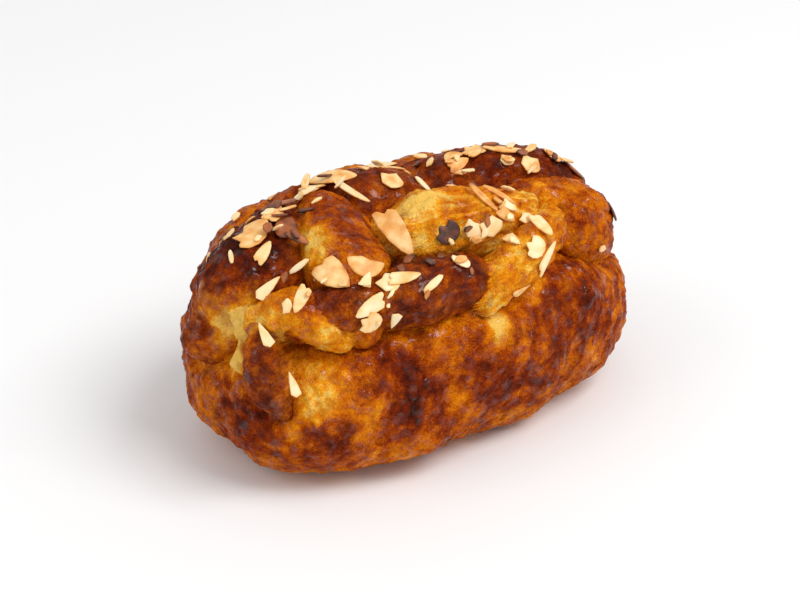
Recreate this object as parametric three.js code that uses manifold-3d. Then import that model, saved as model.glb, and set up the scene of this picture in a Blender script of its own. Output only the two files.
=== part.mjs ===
// A sweet potato mini loaf: an enriched dough twisted on top, baked in a small tin, and strewn with
// flaked almonds. Millimetres, +Z up. X runs along the loaf and Y across it, and the origin is under its
// middle, on the surface that it rests on.
import * as THREE from "three";
import { mergeVertices } from "three/addons/utils/BufferGeometryUtils.js";
import Module from "manifold-3d";

const wasm = await Module();
wasm.setup();

// Driving dimensions of the tin-shaped body.
const LENGTH = 162;
const WIDTH = 96;
const WIDEST_Z = 27; // height at which the sides stand upright
const PLAN_POWER = 2.7; // superellipse power of the plan: 2 is an ellipse, more is squarer
const SHOULDER_POWER = 3.2; // how squarely the sides turn over into the top
const BASE_POWER = 2.8; // how squarely the sides turn under to the base
const BASE_CUT = 3; // slice taken off the rounded underside to leave the flat base

// The rim of the body, as [x, height]: low under the knot at one end and high along the rest.
const RIM = [
  [-LENGTH / 2, 50],
  [-60, 57],
  [-20, 63],
  [30, 63],
  [LENGTH / 2, 54],
];

// The twisted strands of dough on top. Each follows its points [x, y, z, radius].
const STRANDS = {
  left_knot: [
    [-70, 9, 44, 12],
    [-67, 4, 54, 14],
    [-60, 0, 62, 17],
    [-50, 4, 65, 17.5],
    [-41, 12, 65, 16],
    [-33, 24, 61, 14],
  ],
  left_end_fold: [
    [-53, 22, 62, 11],
    [-60, 17, 59, 10],
    [-67, 12, 51, 8.5],
    [-71, 6, 43, 6.5],
  ],
  left_pale_fold: [
    [-64, -3, 63, 9],
    [-69, -8, 57, 8.5],
    [-70, -14, 49, 8],
  ],
  front_left_lobe: [
    [-67, -15, 58, 8],
    [-61, -21, 62, 9],
    [-55, -27, 61.5, 9.5],
    [-50, -31, 58, 8],
  ],
  front_tongue: [
    [-70, -19, 57, 6],
    [-72, -23, 49, 7.5],
    [-71.5, -26, 41, 7],
    [-70, -28, 34, 5],
  ],
  middle_lobe: [
    [-42, -30, 60, 11],
    [-39, -22, 67, 14],
    [-35, -8, 70, 15.5],
    [-30, 8, 70, 15],
    [-26, 22, 62, 13],
  ],
  front_ridge: [
    [-60, -24, 60, 8],
    [-48, -29, 64, 10],
    [-34, -33, 63.5, 10.5],
    [-16, -34, 63, 10.5],
    [0, -35, 61, 9.5],
    [12, -36, 56, 7],
  ],
  bright_lobe: [
    [-22, -9, 69, 9],
    [-12, -16, 72, 11.5],
    [2, -18, 73, 12],
    [18, -20, 72, 12],
    [27, -22, 70, 10.5],
  ],
  yellow_strand: [
    [1, -40, 57, 6.5],
    [8, -38.5, 60.5, 8.5],
    [18, -35, 64, 9.5],
    [29, -31, 67, 9],
    [38, -25, 67, 7],
  ],
  rear_ridge_left: [
    [-33, 21, 67, 13],
    [-20, 14, 70, 14],
    [-6, 10, 70.5, 13.5],
    [7, 8, 69, 12],
  ],
  rear_ridge_right: [
    [4, 14, 63, 13],
    [18, 10, 68, 15],
    [36, 6, 69.5, 15],
    [50, 0, 68.5, 14.5],
    [60, -3, 61, 13],
  ],
  right_knot: [
    [43, -12, 65, 13],
    [51, -18, 62, 15],
    [56, -18, 56, 15.5],
    [58, -15, 47, 14],
  ],
  right_end: [
    [54, 8, 60, 14],
    [60, 5, 53, 15],
    [62, 4, 43, 14],
  ],
  back_ridge: [
    [-58, 20, 50, 11],
    [-44, 32, 58, 12],
    [-24, 35, 60, 11.5],
    [-4, 34, 61, 11.5],
    [16, 35, 60, 11.5],
    [38, 33, 60, 12],
    [58, 24, 54, 13],
  ],
  back_lobe_left: [
    [-22, 39, 52, 10],
    [-10, 30, 65, 12],
    [0, 18, 69, 12],
  ],
  back_lobe_right: [
    [18, 38, 48, 10],
    [30, 31, 58, 12],
    [42, 18, 64, 13],
  ],
};

const BLEND = 4; // width over which touching strands run into one another
const CREASE_DEPTH = 1.2; // extra depth of the crease where two strands meet
const CREASE_WIDTH = 3; // half the width of that crease
const PIECES_PER_STRAND = 14; // straight pieces that a strand's curve is measured along
const SPINE = 34; // half-length of the line inside the loaf that its surface is measured from
const SPINE_Z = 40;
const SURFACE_DETAIL = 19; // how finely the surface is divided
const CLEAR = 30; // how far outside the body the search for the surface begins
const STEP_SHARE = 0.6; // share of the distance left that each step of the search takes
const MOST_STEPS = 80;
const CLOSE_ENOUGH = 0.02; // distance at which a point is on the surface
const BELOW_FLOOR = 40; // depth of the block that trims the underside flat
const SAME_POINT = 1e-4; // distance within which two vertices are one

const FLAKE_THICKNESS = 0.9;
const FLAKE_GAP = 0.3; // clearance under a flake
const FLAKE_CURVE_PIECES = 4; // straight pieces in each curve of a flake's outline
const SEAT_PASSES = 2; // times that a flake is turned to lie flatter
const SEAT_SHARE = 1 / 3; // how far along and across a flake, from its middle, it feels for the crust

// Flaked almonds, as [outline, toasting, strand, share, lean, turn, length, width]. Share is how far along
// the strand a flake lies, from 0 to 1. Lean is in degrees from the strand's top over to the right of its
// run. Turn is in degrees from +X, counter-clockwise as seen from outside the loaf.
const FLAKES = [
  // Over the left knot and the start of the ridge behind it.
  ["fan", "toasted", "left_knot", 0.5, -10, 35, 15, 12],
  ["half", "toasted", "left_knot", 0.65, -5, 40, 12, 7],
  ["half", "toasted", "left_knot", 0.85, 35, 10, 10, 7],
  ["dee", "toasted", "rear_ridge_left", 0.2, 20, -50, 10, 5],
  ["whole", "dark", "left_knot", 0.8, 0, -50, 10, 7],
  ["whole", "dark", "left_knot", 0.6, 15, 40, 12, 7],
  ["chip", "pale", "left_knot", 0.65, -10, 20, 5, 4],
  ["chip", "pale", "left_knot", 0.5, -40, 30, 6, 4],
  ["sliver", "pale", "left_knot", 0.4, 0, 60, 6, 2],
  ["half", "toasted", "left_knot", 0.45, 20, 35, 10, 4.5],
  ["half", "dark", "left_knot", 0.55, 35, -60, 9, 4],
  ["sliver", "pale", "left_knot", 0.5, 60, 10, 8, 2.5],
  ["shard", "pale", "left_knot", 0.4, 60, 20, 11, 4.5],
  // Over the lobe, the tongue and the ridge along the front.
  ["half", "toasted", "middle_lobe", 0.2, -30, -70, 14, 10],
  ["dee", "toasted", "middle_lobe", 0.2, 10, -30, 13, 7],
  ["chip", "pale", "front_ridge", 0.4, 30, 15, 8, 7],
  ["shard", "pale", "front_ridge", 0.3, 20, 45, 6, 4],
  ["half", "pale", "front_ridge", 0.45, 30, -10, 12, 5],
  ["sliver", "pale", "front_ridge", 0.55, 50, 20, 10, 3],
  ["chip", "pale", "front_left_lobe", 0.45, -20, -60, 4.5, 3.5],
  ["half", "pale", "front_left_lobe", 0.5, 30, -140, 12, 5],
  ["chip", "pale", "front_left_lobe", 0.4, 45, 60, 5, 3.5],
  ["shard", "pale", "front_tongue", 0, 0, 95, 9, 4],
  ["shard", "pale", "front_tongue", 0.65, -10, 90, 9, 4],
  ["half", "pale", "front_ridge", 0.3, 65, -160, 12, 5.5],
  ["fan", "pale", "front_ridge", 0.3, 90, 40, 8, 7],
  ["shard", "pale", "front_ridge", 0.4, 100, -100, 6.5, 4],
  ["fan", "pale", "front_ridge", 0.7, 20, -60, 7, 5],
  // Over the bright lobe, and the yellow strand beside it.
  ["half", "toasted", "bright_lobe", 0.2, 45, -80, 20, 8.5],
  ["fan", "dark", "bright_lobe", 0.4, 65, 20, 9, 8],
  ["chip", "pale", "bright_lobe", 0.55, 70, -45, 7, 6],
  ["chip", "pale", "bright_lobe", 0.65, 70, 10, 8.5, 7],
  ["shard", "pale", "yellow_strand", 0.5, 5, -80, 7, 5],
  ["chip", "pale", "yellow_strand", 0.7, -10, 30, 5, 4],
  ["half", "toasted", "bright_lobe", 0.75, 55, -45, 8, 4.5],
  ["half", "pale", "bright_lobe", 0.8, 40, -45, 6.5, 4],
  ["half", "pale", "yellow_strand", 0.7, 30, -80, 11, 5.5],
  ["fan", "pale", "yellow_strand", 0.55, 50, 30, 9, 7.5],
  ["half", "pale", "yellow_strand", 0.6, 85, 40, 14, 5],
  ["half", "pale", "yellow_strand", 0.3, 115, 150, 13, 5],
  ["sliver", "toasted", "bright_lobe", 0.65, 25, -80, 15, 3],
  ["sliver", "toasted", "bright_lobe", 0.75, 20, -60, 13, 3],
  // Over the ridges behind.
  ["whole", "toasted", "rear_ridge_left", 0.35, -5, -35, 17, 9.5],
  ["half", "toasted", "rear_ridge_left", 0.8, -20, -35, 10, 7],
  ["chip", "toasted", "rear_ridge_left", 0.7, 25, -30, 8, 7],
  ["half", "pale", "rear_ridge_left", 0.4, 40, -55, 15, 5],
  ["sliver", "pale", "rear_ridge_left", 1, 25, -75, 8, 2.5],
  ["dee", "toasted", "rear_ridge_right", 0.35, 0, 180, 8, 5],
  ["half", "toasted", "rear_ridge_right", 0.35, 20, 10, 9.5, 6],
  ["fan", "toasted", "rear_ridge_right", 0.45, 0, -5, 9, 8],
  ["sliver", "toasted", "rear_ridge_right", 0.6, 10, -40, 15, 4],
  ["chip", "pale", "rear_ridge_right", 0.6, 30, -45, 5, 4.5],
  ["chip", "toasted", "rear_ridge_right", 0.7, 35, -50, 7.5, 6.5],
  ["chip", "toasted", "rear_ridge_right", 0.8, 5, 0, 8, 7],
  ["half", "dark", "rear_ridge_right", 0.95, 5, -30, 14, 5],
  ["whole", "dark", "right_knot", 0.6, 40, 80, 8, 5],
  // Down the far side.
  ["half", "toasted", "back_ridge", 0.3, -10, 20, 11, 6],
  ["whole", "pale", "back_ridge", 0.65, -15, -30, 12, 8],
  ["half", "toasted", "back_ridge", 0.85, -20, 40, 10, 6],
];

// A closed three.js geometry as a manifold-3d solid.
function solid(geometry) {
  const bare = geometry.clone();
  bare.deleteAttribute("normal");
  bare.deleteAttribute("uv");
  const merged = mergeVertices(bare, SAME_POINT);
  return new wasm.Manifold(
    new wasm.Mesh({
      numProp: 3,
      vertProperties: merged.attributes.position.array,
      triVerts: new Uint32Array(merged.index.array),
    }),
  );
}

// A manifold-3d solid as a three.js geometry.
function geometryOf(manifold) {
  const { vertProperties, triVerts } = manifold.getMesh();
  const geometry = new THREE.BufferGeometry();
  geometry.setAttribute("position", new THREE.BufferAttribute(vertProperties, 3));
  geometry.setIndex(new THREE.BufferAttribute(triVerts, 1));
  geometry.computeVertexNormals();
  return geometry;
}

// The height of the rim at x.
function rimHeight(x) {
  const next = RIM.findIndex(([at]) => x <= at);
  if (next === 0) return RIM[0][1];
  if (next < 0) return RIM[RIM.length - 1][1];
  const [x0, z0] = RIM[next - 1];
  const [x1, z1] = RIM[next];
  return THREE.MathUtils.lerp(z0, z1, THREE.MathUtils.smoothstep(x, x0, x1));
}

// How far a point is outside the tin-shaped body, or inside it where negative.
function bodyDistance({ x, y, z }) {
  const lengthwise = Math.abs((2 * x) / LENGTH) ** PLAN_POWER;
  const crosswise = Math.abs((2 * y) / WIDTH) ** PLAN_POWER;
  const plan = (lengthwise + crosswise) ** (1 / PLAN_POWER);
  const above = z > WIDEST_Z;
  const reach = above ? rimHeight(x) - WIDEST_Z : WIDEST_Z + BASE_CUT;
  const level = Math.abs(z - WIDEST_Z) / reach;
  const exponent = above ? SHOULDER_POWER : BASE_POWER;
  const size = (plan ** exponent + level ** exponent) ** (1 / exponent);
  return (size - 1) * (WIDTH / 2);
}

// The line through the middle of a strand.
function centreLine(points) {
  return new THREE.CatmullRomCurve3(points.map(([x, y, z]) => new THREE.Vector3(x, y, z)));
}

// The radius of a strand at a share of the way along it.
function radiusAt(points, share) {
  const radii = points.map((point) => new THREE.Vector3(point[3], 0, 0));
  return new THREE.CatmullRomCurve3(radii).getPoint(share).x;
}

// A strand as a run of points with a radius at each.
function strandPoints(points) {
  const centre = centreLine(points);
  return Array.from({ length: PIECES_PER_STRAND + 1 }, (_, i) => ({
    at: centre.getPoint(i / PIECES_PER_STRAND),
    r: radiusAt(points, i / PIECES_PER_STRAND),
  }));
}

const strands = Object.values(STRANDS).map(strandPoints);

const toPoint = new THREE.Vector3();
const piece = new THREE.Vector3();

// How far a point is from the surface of a strand.
function strandDistance(point, run) {
  let nearest = Infinity;
  for (let i = 1; i < run.length; i++) {
    const from = run[i - 1];
    const to = run[i];
    piece.subVectors(to.at, from.at);
    toPoint.subVectors(point, from.at);
    const t = THREE.MathUtils.clamp(toPoint.dot(piece) / piece.lengthSq(), 0, 1);
    const r = from.r + t * (to.r - from.r);
    nearest = Math.min(nearest, toPoint.addScaledVector(piece, -t).length() - r);
  }
  return nearest;
}

// How far a point is from the loaf: its parts run together a little, with a crease between the two nearest.
function loafDistance(point) {
  let first = bodyDistance(point);
  let second = Infinity;
  for (const run of strands) {
    const distance = strandDistance(point, run);
    second = Math.min(second, Math.max(first, distance));
    first = Math.min(first, distance);
  }
  const gap = second - first;
  const runIn = Math.max(0, BLEND - gap) ** 2 / (4 * BLEND);
  return first - runIn + CREASE_DEPTH * Math.exp(-((gap / CREASE_WIDTH) ** 2));
}

// The loaf's surface: an even ball of points, each moved in along its own line to where the loaf begins.
function loafGeometry() {
  const ball = new THREE.IcosahedronGeometry(1, SURFACE_DETAIL);
  const geometry = mergeVertices(ball.deleteAttribute("normal").deleteAttribute("uv"), SAME_POINT);
  const position = geometry.attributes.position;
  const point = new THREE.Vector3();
  const inner = new THREE.Vector3();
  const inward = new THREE.Vector3();
  for (let i = 0; i < position.count; i++) {
    point.fromBufferAttribute(position, i);
    point.multiply(new THREE.Vector3(LENGTH / 2 + CLEAR, WIDTH / 2 + CLEAR, SPINE_Z + CLEAR));
    point.z += SPINE_Z;
    inner.set(THREE.MathUtils.clamp(point.x, -SPINE, SPINE), 0, SPINE_Z);
    inward.subVectors(inner, point).normalize();
    for (let step = 0; step < MOST_STEPS; step++) {
      const distance = loafDistance(point);
      if (Math.abs(distance) < CLOSE_ENOUGH) break;
      point.addScaledVector(inward, distance * STEP_SHARE);
    }
    position.setXYZ(i, ...point);
  }
  return geometry;
}

// The loaf with its underside cut flat.
function loafSolid() {
  const floor = new THREE.BoxGeometry(2 * LENGTH, 2 * WIDTH, BELOW_FLOOR);
  floor.translate(0, 0, -BELOW_FLOOR / 2);
  return solid(loafGeometry()).subtract(solid(floor));
}

// The outlines of the flakes, each reaching about 1 from the middle both ways.
const OUTLINES = {
  // A slice through a whole almond.
  whole(shape) {
    shape.moveTo(-1, 0.05);
    shape.bezierCurveTo(-1, -0.7, -0.45, -1, -0.1, -1);
    shape.bezierCurveTo(0.35, -1, 0.8, -0.5, 1, 0);
    shape.bezierCurveTo(0.75, 0.4, 0.35, 1, -0.15, 1);
    shape.bezierCurveTo(-0.5, 1, -1, 0.7, -1, 0.05);
  },
  // Snapped across, with a crooked end.
  half(shape) {
    shape.moveTo(-0.95, -0.75);
    shape.bezierCurveTo(-0.3, -1.15, 0.6, -0.9, 1, -0.1);
    shape.bezierCurveTo(0.7, 0.6, 0.1, 0.95, -0.6, 0.95);
    shape.lineTo(-0.8, 0.45);
    shape.lineTo(-0.72, 0.1);
    shape.lineTo(-1, -0.35);
  },
  // Snapped along, with one straight side.
  dee(shape) {
    shape.moveTo(-1, 0.7);
    shape.bezierCurveTo(-0.9, -0.4, -0.4, -1, 0, -1);
    shape.bezierCurveTo(0.45, -1, 0.85, -0.2, 1, 0.85);
    shape.lineTo(0.2, 0.75);
    shape.lineTo(-0.3, 1);
  },
  // A broken piece with uneven corners and one round side.
  chip(shape) {
    shape.moveTo(-0.9, -0.45);
    shape.lineTo(-0.15, -1);
    shape.bezierCurveTo(0.5, -0.9, 1, -0.5, 1, 0.05);
    shape.lineTo(0.35, 1);
    shape.lineTo(-0.3, 0.75);
    shape.lineTo(-1, 0.8);
  },
  // A tooth with one long point.
  shard(shape) {
    shape.moveTo(-0.85, -0.9);
    shape.lineTo(0.1, -0.6);
    shape.lineTo(1, -0.05);
    shape.bezierCurveTo(0.5, 0.55, -0.1, 0.8, -0.7, 1);
    shape.lineTo(-1, 0.2);
  },
  // The round end of a slice, spread from a bite out of one side.
  fan(shape) {
    shape.moveTo(-0.9, -0.3);
    shape.bezierCurveTo(-0.6, -1, 0.3, -1.1, 0.8, -0.6);
    shape.bezierCurveTo(1.1, -0.2, 1, 0.5, 0.6, 0.85);
    shape.lineTo(0.1, 0.6);
    shape.lineTo(-0.35, 1);
    shape.lineTo(-0.6, 0.35);
    shape.lineTo(-1, 0.3);
  },
  // A long thin splinter.
  sliver(shape) {
    shape.moveTo(-1, -0.3);
    shape.bezierCurveTo(-0.4, -1.1, 0.4, -1, 1, -0.1);
    shape.lineTo(0.75, 0.7);
    shape.bezierCurveTo(0.2, 0.9, -0.4, 1, -0.9, 0.6);
  },
};

// A flat flake, lying on Z = 0.
function flakeGeometry(outline, length, width) {
  const shape = new THREE.Shape();
  OUTLINES[outline](shape);
  const geometry = new THREE.ExtrudeGeometry(shape, {
    depth: FLAKE_THICKNESS,
    bevelEnabled: false,
    curveSegments: FLAKE_CURVE_PIECES,
  });
  return geometry.scale(length / 2, width / 2, 1);
}

// The place on a strand at a share of the way along it and a lean over to its right.
function placeOn(points, share, lean) {
  const centre = centreLine(points);
  const tangent = centre.getTangent(share);
  const right = new THREE.Vector3().crossVectors(tangent, new THREE.Vector3(0, 0, 1)).normalize();
  const top = new THREE.Vector3().crossVectors(right, tangent);
  const out = top.applyAxisAngle(tangent, THREE.MathUtils.degToRad(lean));
  return centre.getPoint(share).addScaledVector(out, radiusAt(points, share));
}

const caster = new THREE.Raycaster();

// Where a line from outside, through a point and towards the middle of the loaf, meets the crust.
function crustAt(loaf, point) {
  const inner = new THREE.Vector3(THREE.MathUtils.clamp(point.x, -SPINE, SPINE), 0, SPINE_Z);
  const inward = inner.sub(point).normalize();
  caster.set(point.clone().addScaledVector(inward, -CLEAR), inward);
  return caster.intersectObject(loaf)[0];
}

// The frame of a flake on the crust: its X along the flake and its Z away from the loaf.
function seat(loaf, point, turn, length, width) {
  const middle = crustAt(loaf, point);
  let normal = middle.face.normal.clone();
  let along;
  let across;
  for (let pass = 0; pass < SEAT_PASSES; pass++) {
    const east = new THREE.Vector3(1, 0, 0).projectOnPlane(normal).normalize();
    along = east.applyAxisAngle(normal, THREE.MathUtils.degToRad(turn));
    across = new THREE.Vector3().crossVectors(normal, along);
    const reach = (axis, by) => crustAt(loaf, middle.point.clone().addScaledVector(axis, by)).point;
    const far = length * SEAT_SHARE;
    const wide = width * SEAT_SHARE;
    const lengthways = reach(along, far).sub(reach(along, -far));
    const crossways = reach(across, wide).sub(reach(across, -wide));
    normal = lengthways.cross(crossways).normalize();
  }
  across.crossVectors(normal, along).normalize();
  along.crossVectors(across, normal);
  return new THREE.Matrix4().makeBasis(along, across, normal).setPosition(middle.point);
}

// The flakes, laid one after another: each is raised off the crust until it is clear of what is under it.
function layFlakes(loaf, loafBody, materials) {
  const laid = [loafBody];
  return FLAKES.map(([outline, toasting, strand, share, lean, turn, length, width], i) => {
    const flake = new THREE.Mesh(flakeGeometry(outline, length, width), materials[toasting]);
    flake.name = `almond_${toasting}_${String(i + 1).padStart(2, "0")}`;
    const frame = seat(loaf, placeOn(STRANDS[strand], share, lean), turn, length, width);
    const lift = new THREE.Matrix4();
    let body;
    for (let height = 0; ; height += FLAKE_GAP) {
      lift.copy(frame).multiply(new THREE.Matrix4().makeTranslation(0, 0, height - FLAKE_GAP));
      body = solid(flake.geometry.clone().applyMatrix4(lift));
      if (laid.every((other) => other.intersect(body).isEmpty())) break;
    }
    laid.push(body);
    flake.applyMatrix4(lift.multiply(new THREE.Matrix4().makeTranslation(0, 0, FLAKE_GAP)));
    return flake;
  });
}

const matt = (color, roughness) => new THREE.MeshStandardMaterial({ color, roughness, metalness: 0 });
const crust = matt(0xb5651d, 0.4);
const almonds = {
  pale: matt(0xe8cf9c, 0.55),
  toasted: matt(0xd8a25a, 0.5),
  dark: matt(0x5e3320, 0.5),
};

const group = new THREE.Group();
const loafBody = loafSolid();
const loaf = new THREE.Mesh(geometryOf(loafBody), crust);
loaf.name = "loaf";
group.add(loaf, ...layFlakes(loaf, loafBody, almonds));

// The loaf with its flakes is centred over the origin.
const middle = new THREE.Box3().setFromObject(group, true).getCenter(new THREE.Vector3());
group.position.set(-middle.x, -middle.y, 0);

export default group;
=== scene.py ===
# The sweet potato mini loaf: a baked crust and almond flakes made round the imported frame, on a pale floor.
import itertools
import math

import bpy
import numpy as np
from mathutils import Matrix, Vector
from mathutils.bvhtree import BVHTree


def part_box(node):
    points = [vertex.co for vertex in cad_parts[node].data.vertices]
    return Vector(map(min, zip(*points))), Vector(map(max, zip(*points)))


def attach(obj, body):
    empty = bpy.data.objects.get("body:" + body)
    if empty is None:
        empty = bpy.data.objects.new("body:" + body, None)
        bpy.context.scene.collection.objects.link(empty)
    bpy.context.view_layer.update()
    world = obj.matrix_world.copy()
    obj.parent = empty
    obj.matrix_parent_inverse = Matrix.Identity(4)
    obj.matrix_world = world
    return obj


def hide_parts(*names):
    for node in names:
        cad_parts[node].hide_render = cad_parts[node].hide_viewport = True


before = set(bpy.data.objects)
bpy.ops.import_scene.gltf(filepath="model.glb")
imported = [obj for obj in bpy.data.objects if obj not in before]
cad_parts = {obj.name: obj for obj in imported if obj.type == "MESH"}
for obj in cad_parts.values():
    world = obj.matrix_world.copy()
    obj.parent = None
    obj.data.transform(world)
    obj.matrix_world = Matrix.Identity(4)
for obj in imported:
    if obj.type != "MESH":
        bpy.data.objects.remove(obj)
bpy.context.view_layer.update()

MM = 0.001  # metres in a millimetre, the unit of every shape below

# ---------------------------------------------------------------- the dough's shape, in millimetres
LENGTH = 162
WIDTH = 96
WIDEST_Z = 27
PLAN_POWER = 2.7
SHOULDER_POWER = 3.2
BASE_POWER = 2.8
BASE_CUT = 3
SPINE = 34  # half-length of the line inside the loaf that its surface is measured from
SPINE_Z = 40

# The move from the shapes below to the frame, whose origin is under the middle of the loaf with its flakes.
# The body's right end and front side show it.
loaf_low, loaf_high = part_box("loaf")
SHIFT = np.array([loaf_high[0] / MM - LENGTH / 2, loaf_low[1] / MM + WIDTH / 2, 0])

# The rim of the tin-shaped body, as x and height.
RIM_X = [-81, -60, -20, 30, 81]
RIM_Z = [50, 57, 63, 63, 54]

# Each strand of dough: points [x, y, z, radius], how brown it is baked (0 cream to 1 black), how much
# chocolate filling shows (0 to 1), and how stringy its surface is (0 to 1).
STRANDS = {
    "left_knot": (
        [[-70, 9, 44, 12], [-67, 4, 54, 14], [-60, 0, 62, 17], [-50, 4, 65, 17.5], [-41, 12, 65, 16],
         [-33, 24, 61, 14]],
        0.68, 0.4, 0.5,
    ),
    "left_end_fold": (
        [[-53, 22, 62, 11], [-60, 17, 59, 10], [-67, 12, 51, 8.5], [-71, 6, 43, 6.5]],
        0.66, 0.3, 0.4,
    ),
    "left_pale_fold": ([[-64, -3, 63, 9], [-69, -8, 57, 8.5], [-70, -14, 49, 8]], 0.3, 0, 0.8),
    "front_left_lobe": (
        [[-67, -15, 58, 8], [-61, -21, 62, 9], [-55, -27, 61.5, 9.5], [-50, -31, 58, 8]],
        0.42, 0, 0.4,
    ),
    "front_tongue": (
        [[-70, -19, 57, 6], [-72, -23, 49, 7.5], [-71.5, -26, 41, 7], [-70, -28, 34, 5]],
        0.55, 0.7, 0.3,
    ),
    "middle_lobe": (
        [[-42, -30, 60, 11], [-39, -22, 67, 14], [-35, -8, 70, 15.5], [-30, 8, 70, 15], [-26, 22, 62, 13]],
        0.50, 0, 0.35,
    ),
    "front_ridge": (
        [[-60, -24, 60, 8], [-48, -29, 64, 10], [-34, -33, 63.5, 10.5], [-16, -34, 63, 10.5],
         [0, -35, 61, 9.5], [12, -36, 56, 7]],
        0.68, 0.6, 0.5,
    ),
    "bright_lobe": (
        [[-22, -9, 69, 9], [-12, -16, 72, 11.5], [2, -18, 73, 12], [18, -20, 72, 12], [27, -22, 70, 10.5]],
        0.26, 0, 1.0,
    ),
    "yellow_strand": (
        [[1, -40, 57, 6.5], [8, -38.5, 60.5, 8.5], [18, -35, 64, 9.5], [29, -31, 67, 9], [38, -25, 67, 7]],
        0.30, 0, 0.5,
    ),
    "rear_ridge_left": (
        [[-33, 21, 67, 13], [-20, 14, 70, 14], [-6, 10, 70.5, 13.5], [7, 8, 69, 12]],
        0.62, 0.45, 0.4,
    ),
    "rear_ridge_right": (
        [[4, 14, 63, 13], [18, 10, 68, 15], [36, 6, 69.5, 15], [50, 0, 68.5, 14.5], [60, -3, 61, 13]],
        0.64, 0.35, 0.4,
    ),
    "right_knot": (
        [[43, -12, 65, 13], [51, -18, 62, 15], [56, -18, 56, 15.5], [58, -15, 47, 14]],
        0.50, 0, 0.5,
    ),
    "right_end": ([[54, 8, 60, 14], [60, 5, 53, 15], [62, 4, 43, 14]], 0.54, 0, 0.3),
    "back_ridge": (
        [[-58, 20, 50, 11], [-44, 32, 58, 12], [-24, 35, 60, 11.5], [-4, 34, 61, 11.5], [16, 35, 60, 11.5],
         [38, 33, 60, 12], [58, 24, 54, 13]],
        0.5, 0.2, 0.2,
    ),
    "back_lobe_left": ([[-22, 39, 52, 10], [-10, 30, 65, 12], [0, 18, 69, 12]], 0.45, 0, 0.3),
    "back_lobe_right": ([[18, 38, 48, 10], [30, 31, 58, 12], [42, 18, 64, 13]], 0.5, 0.3, 0.2),
}
BODY_BAKE, BODY_STRINGS = 0.53, 0.5
PIECES_PER_STRAND = 14
BLEND = 1.6  # width over which touching strands run into one another
CREASE_DEPTH = 1.8
CREASE_WIDTH = 2.2
SEAM_DRIFT = 1.6  # how far the seams between strands wander
SEAM_DRIFT_CELL = 15  # and over what distance
NEAR = 14  # points further than this from a strand aren't measured to it
FAR = 30.0  # the distance that they are given instead


# ---------------------------------------------------------------- noise
def value_noise(points, cell, seed):
    """Smooth noise from -1 to 1 that changes over a distance of cell, at an (n, 3) array of points."""
    where = points / cell + seed * 7.31
    base = np.floor(where).astype(np.int64)
    part = where - base
    part = part**3 * (part * (part * 6 - 15) + 10)
    total = np.zeros(len(points))
    for corner in itertools.product((0, 1), repeat=3):
        weight = np.prod(np.where(corner, part, 1 - part), axis=1)
        total += weight * hashed(base + corner, seed)
    return total


def hashed(cells, seed):
    """A number from -1 to 1 for each whole-number cell, the same on each run."""
    mixed = cells[:, 0] * 73856093 ^ cells[:, 1] * 19349663 ^ cells[:, 2] * 83492791 ^ seed * 26544357
    mixed = (mixed ^ (mixed >> 13)) * 1274126177 & 0x7FFFFFFF
    mixed = (mixed ^ (mixed >> 15)) * 668265263 & 0x7FFFFFFF
    return (mixed >> 7 & 0xFFFF) / 0x7FFF - 1


def layered_noise(points, cell, seed, layers=3):
    """Noise with finer, weaker layers on top."""
    total = sum(value_noise(points, cell / 2**i, seed + i) / 2**i for i in range(layers))
    return total / (2 - 2 ** (1 - layers))


def cell_bumps(points, cell, seed):
    """Round bumps, 1 at the middle of each and 0 between them, about cell apart."""
    where = points / cell
    base = np.floor(where).astype(np.int64)
    nearest = np.full(len(points), 9.0)
    for step in itertools.product((-1, 0, 1), repeat=3):
        cells = base + step
        jitter = np.stack([hashed(cells, seed + axis) for axis in range(3)], axis=1) * 0.45 + 0.5
        nearest = np.minimum(nearest, ((cells + jitter - where) ** 2).sum(axis=1))
    return np.clip(1 - nearest * 1.6, 0, 1)


# ---------------------------------------------------------------- the dough as a distance field
def smooth_curve(points, pieces):
    """A Catmull-Rom curve through the points, any number of values to a point."""
    points = np.array(points, float)
    ends = np.vstack([2 * points[0] - points[1], points, 2 * points[-1] - points[-2]])
    out = []
    for t in np.linspace(0, len(points) - 1, pieces + 1):
        i = min(int(t), len(points) - 2)
        f = t - i
        a, b, c, d = ends[i : i + 4]
        squared = (2 * a - 5 * b + 4 * c - d) * f**2
        cubed = (3 * b - a - 3 * c + d) * f**3
        out.append(0.5 * (2 * b + (c - a) * f + squared + cubed))
    return np.array(out)


def body_distance(points):
    """How far points are outside the tin-shaped body, or inside it where negative."""
    x, y, z = points.T
    plan = (np.abs(2 * x / LENGTH) ** PLAN_POWER + np.abs(2 * y / WIDTH) ** PLAN_POWER) ** (1 / PLAN_POWER)
    rim = np.interp(x, RIM_X, RIM_Z)
    above = z > WIDEST_Z
    level = np.where(above, (z - WIDEST_Z) / (rim - WIDEST_Z), (WIDEST_Z - z) / (WIDEST_Z + BASE_CUT))
    power = np.where(above, SHOULDER_POWER, BASE_POWER)
    return ((plan**power + level**power) ** (1 / power) - 1) * WIDTH / 2


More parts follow.
